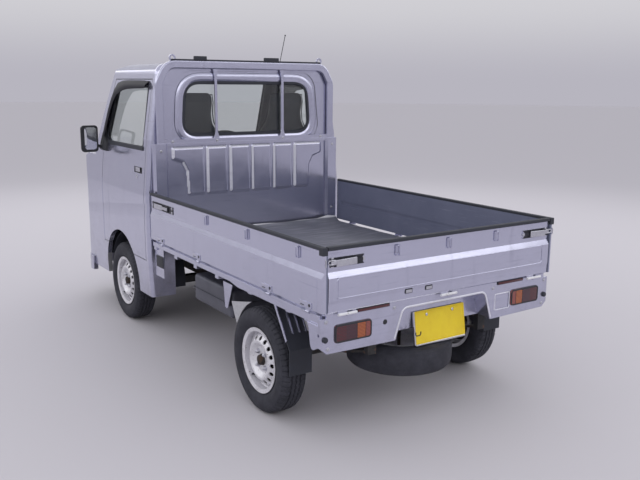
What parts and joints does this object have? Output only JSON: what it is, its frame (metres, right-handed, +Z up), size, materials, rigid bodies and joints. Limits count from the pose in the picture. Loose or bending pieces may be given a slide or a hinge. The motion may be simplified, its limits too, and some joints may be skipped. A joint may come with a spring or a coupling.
{
  "type": "light_flatbed_truck",
  "caption": "Small cab-over flatbed truck with hinged doors, drop-down bed gates, a guard frame behind the cab, steered front wheels and free-turning wheels.",
  "frame": {"origin": "bottom centre of the truck's box, on the ground, midway along its length", "axes": "+X to the truck's left, +Y to the rear, +Z up"},
  "size_m": [1.783, 3.395, 2.0002],
  "materials": {
    "silver_paint": "gloss metallic paint",
    "bed_paint": "matt grey-blue paint",
    "chassis_black": "dusty black paint",
    "cast_block": "rough casting",
    "tank_grey": "dull paint",
    "wheel_silver": "satin silver paint",
    "tyre_rubber": "matt",
    "black_rubber": "matt",
    "window_glass": "clear",
    "lamp_clear": "clear moulded lens",
    "lamp_red": "translucent lens",
    "plate_paint": "embossed plate, blank",
    "black_plastic": "grained",
    "seat_vinyl": "woven vinyl"
  },
  "bodies": {
    "chassis": {"aerial": "black_plastic", "bed_mat": "black_rubber", "cab_back_panel": "silver_paint", "cab_floor": "bed_paint", "cab_front_panel": "silver_paint", "cab_glass": "window_glass", "cab_roof": "silver_paint", "cab_side_frames": "silver_paint", "dashboard": "black_plastic", "drivetrain": "cast_block", "exhaust": "chassis_black", "front_bumper": "black_plastic", "front_suspension": "chassis_black", "fuel_tank": "tank_grey", "headboard": "silver_paint", "headlights": "lamp_clear", "ladder_frame": "chassis_black", "leaf_springs": "chassis_black", "load_deck": "bed_paint", "number_plate": "plate_paint", "rear_axle": "chassis_black", "rear_mudguards": "black_rubber", "rear_panel": "silver_paint", "seats": "seat_vinyl", "spare_wheel": "tyre_rubber", "tail_lamps": "lamp_red"},
    "door_left": {"door_left": "silver_paint", "door_glass_left": "window_glass", "mirror_left": "black_plastic"},
    "door_right": {"door_right": "silver_paint", "door_glass_right": "window_glass", "mirror_right": "black_plastic"},
    "gate_left": {"gate_left": "silver_paint", "gate_cap_left": "black_rubber"},
    "gate_right": {"gate_right": "silver_paint", "gate_cap_right": "black_rubber"},
    "tailgate": {"tailgate": "silver_paint", "tailgate_cap": "black_rubber"},
    "knuckle_left": {"knuckle_left": "chassis_black"},
    "knuckle_right": {"knuckle_right": "chassis_black"},
    "front_left_wheel": {"tyre_front_left": "tyre_rubber", "wheel_front_left": "wheel_silver"},
    "front_right_wheel": {"tyre_front_right": "tyre_rubber", "wheel_front_right": "wheel_silver"},
    "rear_left_wheel": {"tyre_rear_left": "tyre_rubber", "wheel_rear_left": "wheel_silver"},
    "rear_right_wheel": {"tyre_rear_right": "tyre_rubber", "wheel_rear_right": "wheel_silver"},
    "steering_wheel": {"steering_wheel": "black_plastic"}
  },
  "joints": [
    {"name": "door_left_hinge", "type": "hinge", "parent": "chassis", "child": "door_left", "pos_m": [0.7325, -1.1525, 0.75], "axis": [0, 0, -1], "range_deg": [0, 65]},
    {"name": "door_right_hinge", "type": "hinge", "parent": "chassis", "child": "door_right", "pos_m": [-0.7325, -1.1525, 0.75], "axis": [0, 0, 1], "range_deg": [0, 65]},
    {"name": "gate_left_hinge", "type": "hinge", "parent": "chassis", "child": "gate_left", "pos_m": [0.731, 0.7, 0.655], "axis": [0, 1, 0], "range_deg": [0, 180]},
    {"name": "gate_right_hinge", "type": "hinge", "parent": "chassis", "child": "gate_right", "pos_m": [-0.731, 0.7, 0.655], "axis": [0, -1, 0], "range_deg": [0, 180]},
    {"name": "tailgate_hinge", "type": "hinge", "parent": "chassis", "child": "tailgate", "pos_m": [0, 1.691, 0.655], "axis": [-1, 0, 0], "range_deg": [0, 180]},
    {"name": "steer_left", "type": "hinge", "parent": "chassis", "child": "knuckle_left", "pos_m": [0.565, -0.8155, 0.271], "axis": [0, 0, 1], "range_deg": [-33, 33]},
    {"name": "steer_right", "type": "hinge", "parent": "chassis", "child": "knuckle_right", "pos_m": [-0.565, -0.8155, 0.271], "axis": [0, 0, 1], "range_deg": [-33, 33]},
    {"name": "steering_column", "type": "hinge", "parent": "chassis", "child": "steering_wheel", "pos_m": [-0.33, -1.18745, 1.14049], "axis": [0, 0.6198, 0.7848], "range_deg": [-545, 545]},
    {"name": "front_left_spin", "type": "hinge", "parent": "knuckle_left", "child": "front_left_wheel", "pos_m": [0.6525, -0.8155, 0.271], "axis": [1, 0, 0], "continuous": true},
    {"name": "front_right_spin", "type": "hinge", "parent": "knuckle_right", "child": "front_right_wheel", "pos_m": [-0.6525, -0.8155, 0.271], "axis": [1, 0, 0], "continuous": true},
    {"name": "rear_left_spin", "type": "hinge", "parent": "chassis", "child": "rear_left_wheel", "pos_m": [0.65, 1.0845, 0.271], "axis": [1, 0, 0], "continuous": true},
    {"name": "rear_right_spin", "type": "hinge", "parent": "chassis", "child": "rear_right_wheel", "pos_m": [-0.65, 1.0845, 0.271], "axis": [1, 0, 0], "continuous": true}
  ],
  "couplings": [
    {"joint": "steer_right", "follows": "steer_left", "ratio": 1},
    {"joint": "steering_column", "follows": "steer_left", "ratio": 16.5}
  ]
}
